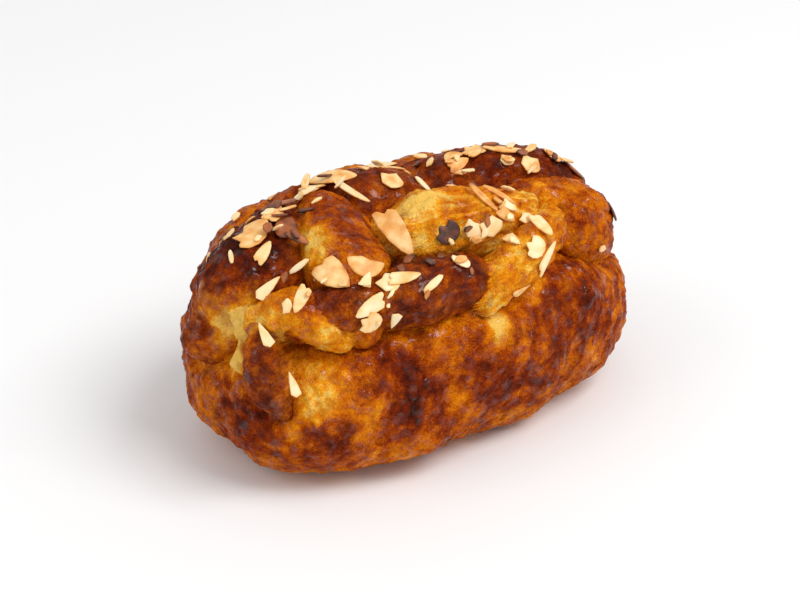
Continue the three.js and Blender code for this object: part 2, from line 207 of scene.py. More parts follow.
def strand_distance(points, run, reach=NEAR):
    """Distance from points to a strand, and how far along it and round it each one's nearest place is."""
    near = ((points > (run[:, :3] - run[:, 3:] - reach).min(axis=0)) &
            (points < (run[:, :3] + run[:, 3:] + reach).max(axis=0))).all(axis=1)
    distance = np.full(len(points), FAR)
    along = np.zeros(len(points))
    across = np.zeros(len(points))
    close = points[near]
    best = distance[near]
    best_along = along[near]
    best_across = across[near]
    start = 0
    for a, b in zip(run[:-1], run[1:]):
        piece = b - a
        length = np.linalg.norm(piece[:3])
        offset = close - a[:3]
        t = np.clip(offset @ piece[:3] / length**2, 0, 1)
        offset = offset - t[:, None] * piece[:3]
        d = np.linalg.norm(offset, axis=1) - (a[3] + t * piece[3])
        side = np.cross(piece[:3] / length, (0, 0, 1))
        rise = np.cross(side, piece[:3] / length)
        closer = d < best
        best = np.where(closer, d, best)
        best_along = np.where(closer, start + t * length, best_along)
        best_across = np.where(closer, a[3] * np.arctan2(offset @ side, offset @ rise), best_across)
        start += length
    distance[near] = best
    along[near] = best_along
    across[near] = best_across
    return distance, along, across


RUNS = [smooth_curve(points, PIECES_PER_STRAND) for points, *_ in STRANDS.values()]


def dough(points):
    """The distance to the dough, the nearest strand's number (0 is the body), the gap to the next
    nearest, and how far along and round its strand each point is."""
    points = wandering(points, SEAM_DRIFT, SEAM_DRIFT_CELL, 101)
    first = body_distance(points)
    second = np.full(len(points), FAR)
    number = np.zeros(len(points), int)
    along = points[:, 2] + 0.4 * points[:, 0]
    across = points[:, 0] + points[:, 1] - 0.4 * points[:, 2]
    for i, run in enumerate(RUNS, 1):
        distance, place, turn = strand_distance(points, run)
        closer = distance < first
        second = np.minimum(second, np.where(closer, first, distance))
        number[closer] = i
        along[closer] = place[closer] + 50 * i
        across[closer] = turn[closer]
        first = np.minimum(first, distance)
    gap = second - first
    run_in = np.maximum(0, BLEND - gap) ** 2 / (4 * BLEND)
    crease = CREASE_DEPTH * np.exp(-((gap / CREASE_WIDTH) ** 2))
    return first - run_in + crease, number, gap, along, across


# ---------------------------------------------------------------- the fine surface
BALL_DETAIL = 96  # how many pieces each edge of the icosahedron is divided into
BALL_MARGIN = 30  # how far outside the body the ball's points start
BASE_LEVEL = 0.05  # points lower than this are on the flat base
STAND_OFF = 2  # how far outside the CAD loaf the tracing starts
TRACE_STEPS = 14
TRACE_SHARE = 0.6  # how much of its distance to the dough a point moves at each step

GOLDEN = (1 + math.sqrt(5)) / 2
ICOSAHEDRON = [
    [-1, GOLDEN, 0], [1, GOLDEN, 0], [-1, -GOLDEN, 0], [1, -GOLDEN, 0], [0, -1, GOLDEN], [0, 1, GOLDEN],
    [0, -1, -GOLDEN], [0, 1, -GOLDEN], [GOLDEN, 0, -1], [GOLDEN, 0, 1], [-GOLDEN, 0, -1], [-GOLDEN, 0, 1],
]
ICOSAHEDRON_FACES = [
    [0, 11, 5], [0, 5, 1], [0, 1, 7], [0, 7, 10], [0, 10, 11], [1, 5, 9], [5, 11, 4], [11, 10, 2], [10, 7, 6],
    [7, 1, 8], [3, 9, 4], [3, 4, 2], [3, 2, 6], [3, 6, 8], [3, 8, 9], [4, 9, 5], [2, 4, 11], [6, 2, 10],
    [8, 6, 7], [9, 8, 1],
]


def ball(detail):
    """The points and triangles of an evenly divided icosahedron, with all its points 1 from the middle."""
    corners = np.array(ICOSAHEDRON, float)
    points, triangles, seen = [], [], {}

    def vertex(p):
        key = tuple(np.round(p, 6))
        if key not in seen:
            seen[key] = len(points)
            points.append(p)
        return seen[key]

    for a, b, c in ICOSAHEDRON_FACES:
        rows = [
            [
                vertex((corners[a] * (detail - i) + corners[b] * (i - j) + corners[c] * j) / detail)
                for j in range(i + 1)
            ]
            for i in range(detail + 1)
        ]
        for i in range(detail):
            for j in range(i + 1):
                triangles.append((rows[i][j], rows[i + 1][j], rows[i + 1][j + 1]))
                if j < i:
                    triangles.append((rows[i][j], rows[i + 1][j + 1], rows[i][j + 1]))
    points = np.array(points)
    return points / np.linalg.norm(points, axis=1)[:, None], np.array(triangles)


def surface_normals(points, triangles):
    a, b, c = (points[triangles[:, i]] for i in range(3))
    across = np.cross(b - a, c - a)
    total = np.zeros_like(points)
    for i in range(3):
        for axis in range(3):
            total[:, axis] += np.bincount(triangles[:, i], across[:, axis], len(points))
    return total / np.linalg.norm(total, axis=1)[:, None]


def spine_point(points):
    """The nearest place to each point on the line inside the loaf."""
    inner = np.zeros_like(points)
    inner[:, 0] = np.clip(points[:, 0], -SPINE, SPINE)
    inner[:, 2] = SPINE_Z
    return inner


def tree_of(points, triangles):
    return BVHTree.FromPolygons([tuple(p) for p in points], [tuple(t) for t in triangles])


def cad_points(node):
    """A CAD node's vertices in this script's millimetres."""
    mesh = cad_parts[node].data
    flat = np.zeros(len(mesh.vertices) * 3)
    mesh.vertices.foreach_get("co", flat)
    return flat.reshape(-1, 3) / MM - SHIFT


def cad_tree(node):
    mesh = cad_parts[node].data
    mesh.calc_loop_triangles()
    return tree_of(cad_points(node), [t.vertices for t in mesh.loop_triangles])


def base_surface(cad_loaf):
    """The points and triangles of the plain dough."""
    directions, triangles = ball(BALL_DETAIL)
    reach = (LENGTH / 2 + BALL_MARGIN, WIDTH / 2 + BALL_MARGIN, SPINE_Z + BALL_MARGIN)
    outer = directions * reach + (0, 0, SPINE_Z)
    inward = spine_point(outer) - outer
    inward /= np.linalg.norm(inward, axis=1)[:, None]
    points = np.array([cad_loaf.ray_cast(Vector(p), Vector(d))[0] for p, d in zip(outer, inward)])
    moving = points[:, 2] >= BASE_LEVEL
    points[moving] -= inward[moving] * STAND_OFF
    for _ in range(TRACE_STEPS):
        distance = dough(points[moving])[0]
        points[moving] += inward[moving] * (distance * TRACE_SHARE)[:, None]
    points[:, 2] = np.maximum(points[:, 2], 0)
    return points, triangles


# ---------------------------------------------------------------- marks on the dough
# Folds, lips and strings that stand up, and creases and cracks that are sunk: points, width and height.
LINES = [
    # the hollow under the sheet at the end, and the rolled edge of the body below it
    ([[-80, 2, 53], [-78, -8, 52], [-76, -17, 55]], 1.6, -1.8),
    ([[-80, 4, 43], [-78, -8, 44], [-77, -17, 49]], 2.0, 1.0),
    # the torn edge of the knot, and the folds in the sheet under it
    ([[-76, 4, 68], [-75, -4, 63], [-73, -12, 58]], 1.3, 1.3),
    ([[-74, -9, 66], [-74, -12, 61], [-75, -15, 57]], 1.1, -1.2),
    ([[-71, -14, 67], [-72, -17, 61]], 1.2, 1.0),
    # creases across the dark knot
    ([[-66, -9, 75], [-60, -12, 74], [-55, -11, 77]], 1.0, -1.1),
    ([[-64, 0, 79], [-58, -5, 80], [-52, -6, 81]], 1.0, -1.0),
    ([[-70, -2, 74], [-66, -8, 73], [-63, -13, 71]], 1.1, 1.0),
    # the lip under the small front lobe, and the fold that runs on from it
    ([[-71, -24, 62], [-66, -29, 59], [-61, -33, 58], [-56, -35, 60], [-51, -37, 62]], 1.6, 1.6),
    ([[-66, -30, 56], [-60, -33, 55], [-54, -34, 57]], 1.2, -1.4),
    # creases beside the tongue
    ([[-77, -16, 55], [-77, -22, 47], [-76, -26, 40], [-73, -29, 33]], 0.9, -1.2),
    ([[-70, -30, 56], [-70, -31, 48], [-70, -32, 40]], 1.0, -1.0),
    # stretched folds on the torn yellow dough
    ([[-63, -34, 52], [-61, -36, 44], [-60, -38, 36]], 1.1, 0.8),
    ([[-60, -35, 49], [-56, -37, 43], [-52, -40, 39]], 1.2, -1.0),
    ([[-66, -34, 44], [-63, -36, 36], [-62, -38, 28]], 1.0, 0.7),
    ([[-58, -38, 40], [-54, -40, 34], [-52, -41, 27]], 1.0, 0.6),
    # the torn strings beside the small hole
    ([[-1, -46, 58], [1, -47, 52], [2, -47, 45]], 1.2, 1.0),
    ([[0, -46, 59], [5, -46, 60], [9, -46, 61]], 1.0, 1.0),
    ([[-14, -45, 60], [-14, -46, 54]], 0.7, -1.2),
]

# Hollows: place, radius and depth.
PITS = [
    [-30, -42, 62, 4.5, 5],
    [-2.5, -45.5, 58, 2.2, 4],
    [-18, -14, 84, 4.5, 5],
    [-67, -29, 57, 4.5, 3],
    [-78, -9, 54, 5, 2.5],
]

# Patches of colour: place, radius, and how much browner (or, below 0, yellower) the crust is there.
PATCHES = [
    # browner blotches on the front and the end
    [-35, -45, 45, 9, 0.24], [-29, -46, 36, 8, 0.2], [-58, -39, 24, 7, 0.34], [-36, -45, 26, 9, 0.22],
    [-8, -47, 40, 6, 0.15], [-1, -48, 33, 9, 0.28], [38, -42, 50, 12, 0.13], [50, -42, 40, 12, 0.1],
    [26, -45, 50, 8, 0.15], [-75, -26, 30, 8, 0.25], [-78, -16, 24, 9, 0.14], [-79, -10, 34, 9, 0.12],
    [-20, -46, 26, 6, 0.2], [12, -48, 24, 8, 0.15], [-44, -42, 52, 6, 0.2], [26, -46, 30, 9, 0.15],
    # yellower, stretched or sheltered dough
    [-60, -35, 48, 9, -0.26], [-56, -38, 40, 9, -0.24], [-68, -32, 26, 6, -0.3],
    [-77, -6, 58, 7, -0.5], [-79, 2, 43, 5, -0.3], [-76, -10, 43, 6, -0.3], [-46, -5, 82, 7, -0.4],
    [-46, -14, 81, 6, -0.4], [-76, 4, 64, 4, -0.35], [-72, -13, 66, 6, -0.3], [4, -47, 47, 6, -0.4],
    [1, -47, 52, 5, -0.35], [-78, -6, 50, 6, -0.3], [-79, -14, 48, 7, -0.3], [-46, -44, 28, 7, -0.25],
    [-14, -47, 27, 5, -0.25], [32, -42, 64, 7, -0.15], [56, -36, 57, 6, -0.15], [22, -42, 56, 7, -0.25],
    [-47, -18, 78, 6, -0.25], [-52, -32, 58, 7, -0.25], [-67, -22, 64, 7, -0.3], [-19, -46, 46, 7, -0.15],
    [-62, -36, 34, 6, -0.3], [36, -20, 78, 7, -0.2], [-8, -19, 84, 9, -0.3], [9, -38, 64, 8, -0.15],
    # the burnt patch on the knot, and dark tops
    [-66, 4, 74, 11, 0.25], [-62, -2, 80, 9, 0.15], [-57, -28, 66, 6, 0.25], [-52, 12, 83, 10, 0.1],
    [-30, 14, 83, 12, 0.12], [-38, -6, 85, 8, 0.15], [36, 4, 84, 14, 0.1], [60, -6, 78, 10, 0.2],
    [10, 12, 83, 10, 0.1], [-33, -20, 82, 7, 0.15], [48, -8, 80, 8, 0.15],
]
GOLDEN_BAND = 11  # height over which the crust above the base fades from gold to brown
GOLDEN_BAND_PALER = 0.2
SHELTER_WIDTH = 3.5  # how far from a crease its neighbour still shelters the dough from the heat
SHELTER_PALER = 0.12
BROAD_MOTTLE = 0.16
FINE_MOTTLE = 0.26
STREAKS = 0.22  # how much browner and paler the stringy strands are in streaks
BASE_SMOOTH = 5  # height over which the relief grows from nothing at the flat base
LINE_PIECES = 10

# Heights of the relief over the plain dough.
LUMPS = 1.5
SMALL_LUMPS = 0.55
GRAIN = 0.42
FINE_GRAIN = 0.16
WRINKLES = 0.5
BLISTERS = 0.75
SMALL_BLISTERS = 0.45
STRINGS = 0.8
LINE_WANDER = 0.3  # how much of the surface's unevenness the lines share


def near_line(points, line, width):
    """1 on a line and 0 away from it, across its width."""
    run = np.hstack([smooth_curve(line, LINE_PIECES), np.zeros((LINE_PIECES + 1, 1))])
    distance = strand_distance(points, run, reach=3 * width)[0]
    return np.exp(-((distance / width) ** 2))


def near_point(points, place, radius):
    return np.exp(-(((points - place) / radius) ** 2).sum(axis=1))


def wandering(points, by, cell, seed):
    """Points moved about by noise, which gives whatever is drawn at them an uneven edge."""
    drift = [layered_noise(points, cell, seed + 5 * axis, 2) for axis in range(3)]
    return points + by * np.stack(drift, axis=1)


def relief(points, uneven, along, across, strings):
    """How far the surface stands out from the plain dough: lumps, wrinkles, blisters, strings and marks."""
    height = LUMPS * layered_noise(points, 19, 11, 2) + SMALL_LUMPS * layered_noise(points, 6.5, 21, 2)
    height += GRAIN * layered_noise(uneven, 2.4, 31, 2) + FINE_GRAIN * value_noise(uneven, 1.1, 37)
    folded = 1 - np.abs(value_noise(uneven, 5.0, 81)) * 2
    height += WRINKLES * np.clip(folded, 0, 1) ** 2 * np.clip(0.4 + value_noise(points, 12, 83), 0, 1)
    blistered = np.clip(0.5 + 1.6 * layered_noise(points, 13, 71, 2), 0, 1)
    small = SMALL_BLISTERS * blistered * cell_bumps(uneven, 2.1, 43)
    height += BLISTERS * blistered * cell_bumps(uneven, 3.8, 41) + small
    pulled = strings * value_noise(np.stack([along / 9, across / 1.6, along * 0], axis=1), 1, 91)
    height += STRINGS * pulled
    for line, width, rise in LINES:
        height += rise * near_line(uneven * LINE_WANDER + points * (1 - LINE_WANDER), line, width)
    for x, y, z, radius, depth in PITS:
        height -= depth * near_point(points, (x, y, z), radius)
    return height


def make_loaf_mesh(cad_loaf):
    """The loaf's points and triangles, and how baked and how full of filling it is at each point."""
    points, triangles = base_surface(cad_loaf)
    _, number, gap, along, across = dough(points)
    normals = surface_normals(points, triangles)
    uneven = wandering(points, 2.0, 7, 3)
    looks = np.array([[BODY_BAKE, 0, BODY_STRINGS]] + [look for _, *look in STRANDS.values()])[number]
    bake, filling, strings = looks.T
    bake = bake - SHELTER_PALER * np.exp(-((gap / SHELTER_WIDTH) ** 2))
    for x, y, z, radius, amount in PATCHES:
        bake = bake + amount * near_point(uneven, (x, y, z), radius)
    bake += BROAD_MOTTLE * layered_noise(points, 11, 51) + FINE_MOTTLE * layered_noise(uneven, 3.4, 61, 3)
    bake -= GOLDEN_BAND_PALER * np.exp(-((points[:, 2] / GOLDEN_BAND) ** 2))
    bake += STREAKS * strings * value_noise(np.stack([along / 12, across / 1.1, along * 0], axis=1), 1, 95)
    height = relief(points, uneven, along, across, strings)
    ground = np.clip(points[:, 2] / BASE_SMOOTH, 0, 1)
    points = points + normals * (height * ground)[:, None]
    points[:, 2] = np.maximum(points[:, 2], 0)
    return points, triangles, {"bake": bake, "filling": filling}


def mesh_object(name, points, triangles, values, material):
    """A smooth-shaded object from millimetre points, with a number at each point for every named value."""
    mesh = bpy.data.meshes.new(name)
    mesh.from_pydata(((points + SHIFT) * MM).tolist(), [], triangles.tolist())
    mesh.shade_smooth()
    for label, numbers in values.items():
        layer = mesh.attributes.new(label, "FLOAT", "POINT")
        layer.data.foreach_set("value", np.ascontiguousarray(numbers, dtype=np.float32))
    mesh.materials.append(material)
    made = bpy.data.objects.new(name, mesh)
    bpy.context.scene.collection.objects.link(made)
    return made


# ---------------------------------------------------------------- materials
def new_material(name):
    material = bpy.data.materials.new(name)
    material.use_nodes = True
    tree = material.node_tree
    return material, tree, tree.nodes["Principled BSDF"]


def attribute(tree, name):
    node = tree.nodes.new("ShaderNodeAttribute")
    node.attribute_name = name
    return node.outputs["Fac"]


def noise(tree, scale, detail=3.0, roughness=0.55):
    """Noise over the object's own metres: scale is the number of spots to a metre."""
    place = tree.nodes.new("ShaderNodeTexCoord")
    node = tree.nodes.new("ShaderNodeTexNoise")
    node.inputs["Scale"].default_value = scale
    node.inputs["Detail"].default_value = detail
    node.inputs["Roughness"].default_value = roughness
    tree.links.new(place.outputs["Object"], node.inputs["Vector"])
    return node.outputs["Fac"]


def maths(tree, operation, a, b, c=None):
    node = tree.nodes.new("ShaderNodeMath")
    node.operation = operation
    for socket, value in zip(node.inputs, (a, b, c)):
        if isinstance(value, (int, float)):
            socket.default_value = value
        elif value is not None:
            tree.links.new(value, socket)
    return node.outputs[0]


def ramp(tree, factor, stops):
    """A colour ramp: stops are (place, (r, g, b))."""
    node = tree.nodes.new("ShaderNodeValToRGB")
    elements = node.color_ramp.elements
    while len(elements) < len(stops):
        elements.new(0.5)
    for element, (place, colour) in zip(elements, stops):
        element.position = place
        element.color = (*colour, 1)
    tree.links.new(factor, node.inputs["Fac"])
    return node.outputs["Color"]


def mix(tree, factor, a, b):
    node = tree.nodes.new("ShaderNodeMix")
    node.data_type = "RGBA"
    tree.links.new(factor, node.inputs["Factor"])
    for socket, value in ((node.inputs["A"], a), (node.inputs["B"], b)):
        if isinstance(value, tuple):
            socket.default_value = (*value, 1)
        else:
            tree.links.new(value, socket)
    return node.outputs["Result"]


def bump(tree, height, strength, distance):
    node = tree.nodes.new("ShaderNodeBump")
    node.inputs["Strength"].default_value = strength
    node.inputs["Distance"].default_value = distance
    tree.links.new(height, node.inputs["Height"])
    return node.outputs["Normal"]


CRUST_COLOURS = [
    (0.00, (0.95, 0.57, 0.11)),
    (0.10, (0.90, 0.38, 0.014)),
    (0.25, (0.78, 0.225, 0.002)),
    (0.42, (0.58, 0.125, 0.001)),
    (0.56, (0.36, 0.052, 0.001)),
    (0.72, (0.20, 0.020, 0.001)),
    (0.88, (0.105, 0.010, 0.001)),
    (1.00, (0.045, 0.006, 0.002)),
]
FILLING_COLOURS = [
    (0.2, (0.34, 0.075, 0.014)),
    (0.5, (0.13, 0.020, 0.005)),
    (0.8, (0.040, 0.008, 0.005)),
]


def centred_noise(tree, scale, detail, roughness=0.55):
    return maths(tree, "SUBTRACT", noise(tree, scale, detail, roughness), 0.5)


# Mottling of the crust: spots to a metre, detail and strength.
MOTTLES = [(150, 3, 0.45), (520, 4, 0.5), (1700, 3, 0.5)]


def crust_material():
    material, tree, shader = new_material("crust")
    level = attribute(tree, "bake")
    for scale, detail, amount in MOTTLES:
        level = maths(tree, "MULTIPLY_ADD", centred_noise(tree, scale, detail, 0.65), amount, level)
    crust = ramp(tree, level, CRUST_COLOURS)
    chocolate = ramp(tree, level, FILLING_COLOURS)
    amount = maths(tree, "MULTIPLY_ADD", centred_noise(tree, 160, 4), 3.2, attribute(tree, "filling"))
    amount = maths(tree, "MULTIPLY", amount, 0.8)
    amount.node.use_clamp = True
    tree.links.new(mix(tree, amount, crust, chocolate), shader.inputs["Base Color"])
    height = maths(tree, "MULTIPLY_ADD", noise(tree, 1300, 4), 0.6, noise(tree, 420, 4))
    tree.links.new(bump(tree, height, 1.0, 0.0015), shader.inputs["Normal"])
    gloss = maths(tree, "MULTIPLY_ADD", noise(tree, 260, 3), 0.5, 0.18)
    tree.links.new(gloss, shader.inputs["Roughness"])
    shader.inputs["Specular IOR Level"].default_value = 0.04
    glaze = maths(tree, "MULTIPLY", centred_noise(tree, 300, 3), 4.0)
    glaze.node.use_clamp = True
    tree.links.new(glaze, shader.inputs["Coat Weight"])
    shader.inputs["Coat Roughness"].default_value = 0.07
    shader.inputs["Subsurface Weight"].default_value = 0.02
    shader.inputs["Subsurface Radius"].default_value = (1.0, 0.4, 0.08)
    shader.inputs["Subsurface Scale"].default_value = 0.0012
    return material


ALMOND_COLOURS = [
    (0.00, (0.98, 0.80, 0.50)),
    (0.25, (0.94, 0.62, 0.26)),
    (0.45, (0.82, 0.36, 0.075)),
    (0.70, (0.42, 0.11, 0.022)),
    (1.00, (0.06, 0.018, 0.010)),
]


def almond_material():
    material, tree, shader = new_material("almond")
    level = maths(tree, "MULTIPLY_ADD", centred_noise(tree, 300, 3), 0.5, attribute(tree, "toast"))
    tree.links.new(ramp(tree, level, ALMOND_COLOURS), shader.inputs["Base Color"])
    height = maths(tree, "MULTIPLY_ADD", noise(tree, 1600, 2), 0.4, noise(tree, 600, 2))
    tree.links.new(bump(tree, height, 0.25, 0.0003), shader.inputs["Normal"])
    shader.inputs["Roughness"].default_value = 0.5
    shader.inputs["Subsurface Weight"].default_value = 0.1
    shader.inputs["Subsurface Radius"].default_value = (1.0, 0.6, 0.3)
    shader.inputs["Subsurface Scale"].default_value = 0.001
    return material


# ---------------------------------------------------------------- almond flakes
FLAKE_SIDES = 56
RINGS = [0.0, 0.4, 0.7, 0.88, 0.96, 1.0]
HALF_THICKNESS = 0.42
EDGE_FILL = 0.985  # how full the edge is: the closer to 1, the sharper it is
EDGE_POWER = 8
RAGGED = 0.02  # how uneven the outline is, for its length
RAGGED_WAVES = range(5, 14)
BEND = (-0.010, 0.022)  # least and most curve along a flake, across it and at its corners
FOLD = (-0.02, 0.03)
TWIST = (-0.03, 0.03)
SINK = 0.25  # how far a flake's lowest point is pressed into the egg wash
DROP = 12  # how far above and below its first place a flake looks for what is under it
TESTED = 5  # one in this many of a flake's points is tested as it settles

# How brown a flake is (0 raw to 1 burnt), how much that varies, and where on it.
TOAST = {"pale": 0.1, "toasted": 0.25, "dark": 0.8}
TOAST_SPREAD = (-0.08, 0.1)
BROWN_MIDDLE = {"pale": 0.08, "toasted": 0.35, "dark": 0.08}
MIDDLE_WIDTH = 0.55
BROWN_RIM = 0.16
BLOTCHES = 0.2
BLOTCH_CELL = 3.5
TONE_SEED = 1000


def flake_frame(node):
    """The middle, axes and outline of a CAD flake: along it, across it and away from the loaf."""
    points = cad_points(node)
    middle = points.mean(axis=0)
    axes = np.linalg.svd(points - middle)[2]
    outward = middle - spine_point(middle[None])[0]
    if axes[2] @ outward < 0:
        axes[2] = -axes[2]
    axes[1] = np.cross(axes[2], axes[0])
    flat = (points - middle) @ axes.T
    rim = flat[flat[:, 2] > 0][:, :2]
    rim = rim[np.argsort(np.arctan2(rim[:, 1], rim[:, 0]))]
    return middle, axes, rim


def radius_at(rim, angles):
    """How far an outline is from its middle at each angle. Its corners are in order round the middle."""
    steps = np.linspace(0, 1, 8, endpoint=False)[:, None]
    dense = np.concatenate([a + steps * (b - a) for a, b in zip(rim, np.roll(rim, -1, axis=0))])
    turn = np.arctan2(dense[:, 1], dense[:, 0])
    order = np.argsort(turn)
    return np.interp(angles, turn[order], np.linalg.norm(dense, axis=1)[order], period=2 * math.pi)


def flake_shape(rim, seed):
    """A closed flake round the origin, lying flat: points, triangles, and how near the rim each point is."""
    random = np.random.default_rng(seed)
    angles = np.arange(FLAKE_SIDES) / FLAKE_SIDES * 2 * math.pi
    reach = radius_at(rim, angles)
    ragged = sum(random.normal() * np.cos(k * angles + random.uniform(0, 6)) / k for k in RAGGED_WAVES)
    reach = reach * (1 + RAGGED * ragged)
    bend = random.uniform(*BEND)
    fold = random.uniform(*FOLD)
    twist = random.uniform(*TWIST)
    points, near_rim = [], []
    for side in (1, -1):
        for ring in RINGS:
            half = HALF_THICKNESS * math.sqrt(max(0.0, 1 - (ring * EDGE_FILL) ** EDGE_POWER))
            for angle, far in zip(angles, reach):
                x, y = ring * far * math.cos(angle), ring * far * math.sin(angle)
                points.append((x, y, side * half - bend * x * x - fold * y * y + twist * x * y))
                near_rim.append(ring)
    faces = []
    count = len(RINGS)
    for side in range(2):
        for i in range(count - 1):
            for k in range(FLAKE_SIDES):
                a = (side * count + i) * FLAKE_SIDES + k
                b = (side * count + i) * FLAKE_SIDES + (k + 1) % FLAKE_SIDES
                c, d = a + FLAKE_SIDES, b + FLAKE_SIDES
                if i == 0:
                    faces.append((a, c, d) if side == 0 else (a, d, c))
                elif side == 0:
                    faces += [(a, c, d), (a, d, b)]
                else:
                    faces += [(a, d, c), (a, b, d)]
    for k in range(FLAKE_SIDES):
        a = (count - 1) * FLAKE_SIDES + k
        b = (count - 1) * FLAKE_SIDES + (k + 1) % FLAKE_SIDES
        c, d = a + count * FLAKE_SIDES, b + count * FLAKE_SIDES
        faces += [(a, c, d), (a, d, b)]
    return np.array(points), np.array(faces), np.array(near_rim)


def settle(points, normal, trees):
    """Moves a flake along its normal until it rests on what is under it."""
    lowest = None
    for point in points[::TESTED]:
        for tree in trees:
            hit = tree.ray_cast(Vector(point + normal * DROP), Vector(-normal), 2 * DROP)[0]
            if hit is not None:
                clearance = (point - np.array(hit)) @ normal
                lowest = clearance if lowest is None else min(lowest, clearance)
    return points - normal * ((lowest or 0) + SINK)


def weld(points, triangles, *values):
    """Joins points that lie on one another, such as those at a flake's middle."""
    _, first, index = np.unique(np.round(points, 5), axis=0, return_index=True, return_inverse=True)
    index = index.ravel()
    triangles = index[triangles]
    keep = (triangles != np.roll(triangles, -1, axis=1)).all(axis=1)
    return (points[first], triangles[keep], *(value[first] for value in values))


def make_flake(name, middle, axes, rim, toasting, seed, trees, material):
    points, triangles, near_rim = flake_shape(rim, seed)
    points, triangles, near_rim = weld(points, triangles, near_rim)
    placed = settle(points @ axes + middle, axes[2], trees)
    random = np.random.default_rng(seed + TONE_SEED)
    tone = TOAST[toasting] + random.uniform(*TOAST_SPREAD)
    brown_middle = random.uniform(0, BROWN_MIDDLE[toasting])
    centre = np.exp(-((near_rim / MIDDLE_WIDTH) ** 2))
    blotches = layered_noise(points + seed * 11, BLOTCH_CELL, seed, 2)
    toast = tone + brown_middle * centre + BROWN_RIM * near_rim**4 + BLOTCHES * np.clip(blotches, -0.4, 1)
    made = mesh_object(name, placed, triangles, {"toast": toast}, material)
    trees.append(tree_of(placed, triangles))
    return made


# Flakes and crumbs too small to be CAD nodes: place, turn in degrees, length, width and toasting.
CRUMBS = [
    # over the left knot
    [-61, -2, 81, 25, 4, 2, "pale"], [-56, -1, 82, 60, 5, 3.5, "dark"], [-52, -18, 71, 0, 5, 3, "dark"],
    [-70, 16, 70, 40, 4, 2, "pale"], [-64, 20, 75, -20, 5, 3, "toasted"], [-62, 22, 74, 70, 3, 2, "dark"],
    [-50, 2, 84, -35, 6, 3.5, "dark"], [-47, 11, 84, 20, 8, 5, "dark"], [-51, -7, 80, 80, 5, 3, "dark"],
    [-54, -15, 71, 30, 3, 2, "pale"], [-56, 13, 82, -60, 6, 4, "toasted"], [-44, 6, 85, 15, 7, 4, "toasted"],
    [-40, 3, 85, -40, 6, 3, "dark"], [-35, 3, 85, 10, 5, 1.8, "pale"], [-33, 12, 84, -15, 9, 4, "pale"],
    [-28, 17, 82, 35, 7, 3, "toasted"], [-37, 9, 85, -50, 6, 3, "pale"], [-26, 13, 83, 20, 9, 2, "dark"],
    # along the front
    [-52, -28, 72, 10, 3, 1.4, "pale"], [-40, -40, 66, 0, 2.2, 1.8, "pale"],
    [-38, -40, 67, 50, 1.8, 1.5, "pale"], [-36, -39, 69, 15, 4.5, 1.5, "pale"],
    [-42, -34, 73, -60, 4.5, 1.6, "pale"], [-22, -31, 74, 10, 6, 4, "dark"],
    [-17, -35, 73, -30, 4.5, 3, "dark"], [-12, -34, 73, 45, 5, 2.6, "dark"],
    [-7, -38, 71, 15, 6, 4, "toasted"],
    [-5, -41, 69, 70, 4, 2, "dark"], [-29, -36, 74, 60, 4, 3, "dark"], [-46, -32, 73, -20, 4, 2.6, "toasted"],
    [-60, -27, 69, 60, 3, 2, "pale"], [-24, -42, 68, -15, 4, 2, "toasted"],
    # over the bright lobe and the strand beside it
    [8, -13, 84, 15, 6, 1.8, "pale"], [23, -24, 82, -10, 6, 4, "pale"], [17, -30, 77, 30, 4.5, 3.2, "pale"],
    [15, -37, 72, -50, 4.5, 3, "pale"], [26, -31, 75, 70, 5.5, 2, "toasted"], [21, -34, 75, 20, 4, 2, "pale"],
    [2, -33, 70, 15, 5, 2, "toasted"], [-6, -28, 74, -20, 3, 2, "pale"], [4, -29, 76, 40, 5, 3, "toasted"],
    [10, -29, 79, 25, 6, 2.2, "dark"], [0, -26, 80, -60, 5, 3, "dark"], [14, -27, 80, 60, 5, 3.5, "toasted"],
    [8, -32, 75, 0, 4, 2.5, "pale"], [56, -33, 57, -70, 6, 3.2, "pale"],
    # along the rear ridge
    [-18, 8, 83, -10, 6, 1.8, "pale"], [5, 10, 81, 0, 3.5, 2, "toasted"], [16, 10, 83, 30, 5, 3, "toasted"],
    [20, 5, 83, -25, 4, 2, "toasted"], [23, 6, 84, 50, 5, 2.6, "pale"], [45, -3, 83, -40, 5.5, 3, "dark"],
    [56, -4, 80, 20, 5, 3, "toasted"], [21, 0, 82, 25, 8, 1.8, "toasted"], [24, -1, 81, -35, 6, 1.7, "pale"],
    [-9, 14, 84, 15, 6, 4, "toasted"], [-5, 13, 84, -50, 5, 3, "pale"], [30, 4, 84, 10, 7, 3, "toasted"],
    [38, 5, 84, -30, 6, 3, "dark"], [44, 1, 83, 45, 5, 4, "pale"], [50, -1, 82, 0, 6, 3, "toasted"],
    [57, -6, 80, 60, 5, 3, "dark"], [62, -7, 77, -20, 6, 3, "toasted"], [45, -8, 80, 15, 6, 2.2, "pale"],
    [39, -4, 82, -60, 5, 3.2, "toasted"], [12, 14, 83, 80, 5, 3, "dark"],
    # down the back
    [-10, 40, 66, 10, 7, 4, "toasted"], [30, 36, 66, -30, 6, 4, "pale"], [-45, 36, 66, 40, 6, 3, "pale"],
    [55, 28, 60, -60, 5, 3, "dark"], [5, 42, 60, 20, 5, 3, "pale"],
]
CRUMB_CORNERS = 7
CORNER_SHIFT = 0.3  # how far round, in corners, a corner may be from its even place
CORNER_REACH = (0.7, 1.15)
CRUMB_TILT = 0.25
CRUMB_SHAPE_SEED = 200
CRUMB_PLACE_SEED = 500


